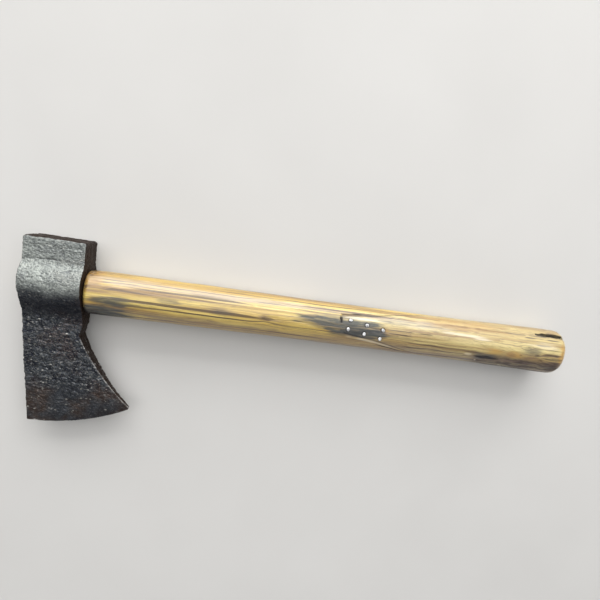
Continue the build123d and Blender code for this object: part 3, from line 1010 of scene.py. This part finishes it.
def mark_head(piece):
    """Where the iron is rubbed grey under painted sheen, smoother, browner or darkened by
    painted shade; a painted glint on the beard's corner, and the cutting edge worn bright.
    """
    p = points_of(piece.data)
    n = normals_of(piece.data)
    steel = ramp(p[:, 1] + 2.0 * noise(p, 9, 5), WELD_Y + 8, WELD_Y - 9)
    turned = np.maximum(np.abs(n[:, 0]), np.abs(n[:, 1]) * (p[:, 1] > -6))
    brown = ramp(turned, 0.45, 0.8)
    low_blade = ramp(p[:, 1], -100, -124) * ramp(rough_noise(p, 12, 91, 2), -0.9, 0.5)
    steel = np.maximum(steel, low_blade)
    # painted sheen: the poll side is painted lighter grey, partly real rubbed iron and partly
    # sheen where it faces the light
    worn = ramp(p[:, 1] + 2.5 * noise(p, 7, 92), -43, -35)
    worn *= 0.72 + 0.25 * noise(p, (9, 5, 9), 93)
    worn = worn * (1 - brown) * ramp(attribute_of(piece.data, "relief"), 0.95, 0.35)
    # painted shade: a blue-black band under the eye's bulge, where the bulge turns away from
    # the light
    soot = 0.75 * np.exp(-(((p[:, 1] + 50 + noise(p, 8, 94)) / 8.5) ** 2))
    start, end = (np.array(corner, float) for corner in BEARD)
    run = end - start
    share = np.clip(((p[:, :2] - start) @ run) / (run @ run), 0, 1)
    hollow = BEARD_HOLLOW * 4 * share * (1 - share)
    across = (p[:, :2] - start) @ np.array([run[1], -run[0]]) / np.linalg.norm(run)
    # painted glint: a bright line along the beard's rounded corner, where it would catch the
    # light
    arris = np.exp(-(((across - hollow - 0.35) / 0.5) ** 2)) * (np.abs(n[:, 2]) > 0.3)
    edge = arris * ramp(p[:, 1], -72, -76) * ramp(rough_noise(p, 2.6, 98, 2), -0.9, 0.6)
    a, b, c = (np.array(point, float) for point in EDGE_POINTS)
    sides = np.array([b - a, c - a])
    centre = a + np.linalg.solve(2 * sides, np.sum(sides**2, axis=1))
    radius = np.linalg.norm(a - centre)
    inward = radius - np.linalg.norm(p[:, :2] - centre, axis=1)
    keen = ramp(inward + 0.6 * noise(p, 5, 97), 1.0, 0.3)
    keen *= ramp(rough_noise(p, 6, 99, 2), -0.8, 0.8)
    rusted = ramp(inward, 13, 2) * ramp(p[:, 0], -8, 6)
    rusted *= ramp(rough_noise(p, 9, 96, 2), -0.9, 0.5)
    brown = np.maximum(brown, 0.5 * rusted)
    # edge holds the painted glint on the beard's corner and the bright cutting edge
    edge = np.maximum(0.62 * edge, 0.2 * keen)
    marks = {"steel": steel, "brown": brown, "worn": worn, "soot": soot, "edge": edge}
    for name, values in marks.items():
        set_attribute(piece.data, name, values)


# ---- Wood ----
def wood_material(name, curl, waves, streaked, honey, shade):
    """Old handled wood: long grain, darker streaks, stains and grime, painted highlight and
    painted shade from the marks.
    """
    m = Shader(name)
    bend = m.times(m.mark("bend"), MM)
    waver = m.cloud(waves, 2.0)
    waver = m.times(m.calc("SUBTRACT", waver, 0.5), curl * MM)
    shift = m.add("ShaderNodeCombineXYZ", {"Y": m.plus(bend, waver), "Z": waver}).outputs[0]
    place = m.add("ShaderNodeVectorMath", {0: m.place, 1: shift}, operation="ADD").outputs[0]
    broad = m.cloud((7, 110, 110), 2.0, 0.5, place)
    streaks = m.cloud((6, 380, 380), 3.0, 0.55, place)
    lines = m.cloud((4.5, 640, 640), 1.5, 0.45, place)
    fibres = m.cloud((45, 2300, 2300), 2.0, 0.6, place)
    dashes = m.cloud((120, 2900, 2900), 1.0, 0.5, place)
    tiny = m.cloud((500, 700, 700), 3.0, 0.6)
    m.colour = m.mix(m.span(broad, 0.36, 0.64), honey, shade)
    m.tint(m.span(streaks, 0.48, 0.62, 0.0, streaked), (0.265, 0.145, 0.045))
    thin = m.span(lines, 0.562, 0.635)
    hairs = m.span(m.cloud((9, 1150, 1150), 1.5, 0.45, place), 0.56, 0.66)
    thin = m.times(thin, m.span(m.cloud((14, 190, 190), 2.0), 0.34, 0.54))
    m.tint(m.times(hairs, 0.55), (0.150, 0.085, 0.040))
    m.tint(m.times(thin, 0.85), (0.075, 0.052, 0.042))
    m.tint(m.times(m.span(fibres, 0.5, 0.75), 0.35), (0.30, 0.18, 0.07))
    m.tint(m.times(m.span(dashes, 0.60, 0.72), 0.55), (0.10, 0.06, 0.03))
    uneven = m.span(m.cloud((60, 420, 420), 3.0, 0.6, place), 0.34, 0.62)
    m.tint(m.times(m.mark("amber"), 0.75), (0.48, 0.270, 0.055))
    # brown and black also carry the painted shade of the low side
    brown = m.times(m.mark("brown"), m.plus(m.times(uneven, 0.7), 0.35))
    m.tint(m.calc("MINIMUM", brown, 0.9), (0.135, 0.070, 0.046))
    blue = m.times(m.mark("blue"), m.plus(m.times(uneven, 0.4), 0.7))
    m.tint(m.calc("MINIMUM", blue, 0.92), (0.045, 0.058, 0.066))
    black = m.times(m.mark("black"), m.plus(m.times(uneven, 0.4), 0.75))
    m.tint(m.calc("MINIMUM", black, 0.95), (0.024, 0.021, 0.023))
    m.tint(m.span(m.mark("wear"), 0.55, 0.95, 0.0, 0.55), (0.09, 0.05, 0.025))
    # pale wood and painted highlight
    m.tint(m.times(m.mark("pale"), 0.75), (0.80, 0.72, 0.54))
    rough = m.span(tiny, 0.3, 0.7, 0.40, 0.58)
    rough = m.plus(rough, m.times(black, 0.35))
    m.set(Base_Color=m.colour, Roughness=rough)
    stained = m.calc("MAXIMUM", m.times(blue, 0.7), m.times(thin, 0.5))
    worn_off = m.calc("MAXIMUM", black, stained)
    coat = m.span(worn_off, 0.0, 1.0, 0.85, 0.0)
    m.set(Specular_IOR_Level=0.6, Coat_Weight=coat, Coat_Roughness=0.38, Coat_IOR=1.75)
    height = m.plus(m.times(streaks, 0.8), m.times(fibres, 0.5))
    height = m.calc("SUBTRACT", height, m.times(thin, 0.35))
    low = m.bump(height, 0.6, 0.0005)
    m.set(Normal=m.bump(tiny, 0.25, 0.0002, low))
    return m.material


def end_wood_material(name):
    """Dry, dark end grain: rings across the wedge and open pores."""
    m = Shader(name)
    rings = m.cloud((60, 160, 1500), 2.0)
    pores = m.cells((300, 2600, 2600))
    m.colour = m.mix(m.span(rings, 0.38, 0.62), (0.17, 0.10, 0.045), (0.075, 0.045, 0.022))
    m.tint(m.span(pores, 0.30, 0.12, 0.0, 0.7), (0.025, 0.016, 0.010))
    m.set(Base_Color=m.colour, Roughness=m.span(rings, 0.3, 0.7, 0.7, 0.88))
    m.set(Normal=m.bump(pores, 0.4, 0.0003))
    return m.material


def small_iron_material(name, dark, light, rough):
    """Nail or wedge metal: bright where it is rubbed, rusty in the lows."""
    m = Shader(name)
    patches = m.cloud((700, 700, 700), 3.0, 0.6)
    specks = m.cloud((2600, 2600, 2600), 2.0, 0.6)
    m.colour = m.mix(m.span(patches, 0.40, 0.56), dark, light)
    m.tint(m.span(specks, 0.58, 0.70, 0.0, 0.5), (0.10, 0.055, 0.03))
    m.set(Base_Color=m.colour, Metallic=0.9)
    m.set(Roughness=m.span(specks, 0.3, 0.7, rough, rough + 0.16))
    m.set(Normal=m.bump(patches, 0.5, 0.0003))
    return m.material


def floor_material():
    m = Shader("floor")
    soft = m.cloud((9, 9, 9), 2.0)
    m.set(Base_Color=m.mix(soft, (0.60, 0.595, 0.58), (0.66, 0.655, 0.64)), Roughness=0.85)
    return m.material


def dress(pieces, material):
    for piece in pieces:
        piece.data.materials.clear()
        piece.data.materials.append(material)


# ---- Floor, light and camera ----
def make_floor():
    """A plain pale floor at the lowest point of the part, lying on its side."""
    reach = 4500.0
    level = cad_box[0][2] / MM
    corners = [(a * reach, b * reach, level) for a, b in SQUARE]
    floor = mesh_object("floor", corners, [(0, 1, 2, 3)])
    dress([floor], floor_material())


def make_light(name, place, target, size, power, colour):
    """A rectangular lamp aimed at a target: metres and watts."""
    lamp = bpy.data.lights.new(name, "AREA")
    lamp.shape = "RECTANGLE"
    lamp.size, lamp.size_y = size
    lamp.energy = power
    lamp.color = colour
    made = bpy.data.objects.new(name, lamp)
    made.location = place
    made.visible_camera = False
    made.rotation_euler = (Vector(target) - Vector(place)).to_track_quat("-Z", "Y").to_euler()
    bpy.context.scene.collection.objects.link(made)


def make_lights():
    """A broad window above, a softer one behind, a weak fill, and a sky dark at the top."""
    middle = (0.17, -0.05, 0.0)
    below = (0.0, 1.60, 0.0)
    make_light("window", (0.0, 1.75, 2.5), below, (5.0, 3.9), 116.0, (1.0, 0.99, 0.98))
    make_light("side", (0.12, 3.0, 1.30), middle, (3.6, 2.0), 122.0, (1.0, 0.985, 0.97))
    make_light("low_fill", (0.74, -3.18, 1.75), middle, (3.0, 1.5), 5.0, (1.0, 0.97, 0.94))
    world = bpy.data.worlds.new("studio")
    world.use_nodes = True
    tree = world.node_tree
    backdrop = tree.nodes["Background"]
    backdrop.inputs["Color"].default_value = (0.90, 0.92, 0.95, 1)
    direction = tree.nodes.new("ShaderNodeTexCoord").outputs["Generated"]
    parts = tree.nodes.new("ShaderNodeSeparateXYZ")
    tree.links.new(direction, parts.inputs[0])
    fade = tree.nodes.new("ShaderNodeMapRange")
    fade.interpolation_type = "SMOOTHSTEP"
    levels = {"From Min": 0.0, "From Max": 0.62, "To Min": 0.80, "To Max": 0.07}
    for socket, value in levels.items():
        fade.inputs[socket].default_value = value
    tree.links.new(parts.outputs["Z"], fade.inputs["Value"])
    tree.links.new(fade.outputs["Result"], backdrop.inputs["Strength"])
    bpy.context.scene.world = world


def make_camera():
    """Looks down on the hatchet's side, tilted a little toward the butt and the edge."""
    camera = bpy.data.cameras.new("camera")
    camera.sensor_width = 36.0
    camera.lens = 24.707
    camera.clip_start = 0.01
    made = bpy.data.objects.new("camera", camera)
    right = Vector((0.97841, 0.16121, 0.12933))
    up = Vector((-0.13573, 0.97310, -0.18615))
    back = right.cross(up)
    place = Matrix((right, up, back)).transposed().to_4x4()
    place.translation = Vector((128.94, 32.94, 322.92)) * MM
    made.matrix_world = place
    bpy.context.scene.collection.objects.link(made)
    bpy.context.scene.camera = made


make_camera()
head_pieces = make_head()
haft_pieces = make_haft()
wedge_pieces = make_wedges()
nail_pieces = make_nails()
for piece in head_pieces:
    mark_head(piece)
dress(head_pieces[:1], iron_material("forged_iron_look", 0.30))
dress(head_pieces[1:], iron_material("bit_steel_look", 0.40))
honey, shade = (0.68, 0.515, 0.135), (0.49, 0.31, 0.060)
dress(haft_pieces[:1], wood_material("haft_look", 2.5, (11, 40, 40), 0.7, honey, shade))
honey, shade = (0.63, 0.515, 0.215), (0.44, 0.315, 0.115)
dress(haft_pieces[1:], wood_material("grip_look", 3.6, (34, 50, 50), 0.6, honey, shade))
dress(wedge_pieces[:1], end_wood_material("wedge_wood_look"))
dark, light = (0.03, 0.025, 0.02), (0.12, 0.10, 0.09)
dress(wedge_pieces[1:], small_iron_material("wedge_iron_look", dark, light, 0.45))
dark, light = (0.40, 0.41, 0.42), (0.80, 0.81, 0.82)
dress(nail_pieces, small_iron_material("nail_look", dark, light, 0.42))
make_floor()
make_lights()
bpy.context.scene.view_settings.view_transform = "Standard"
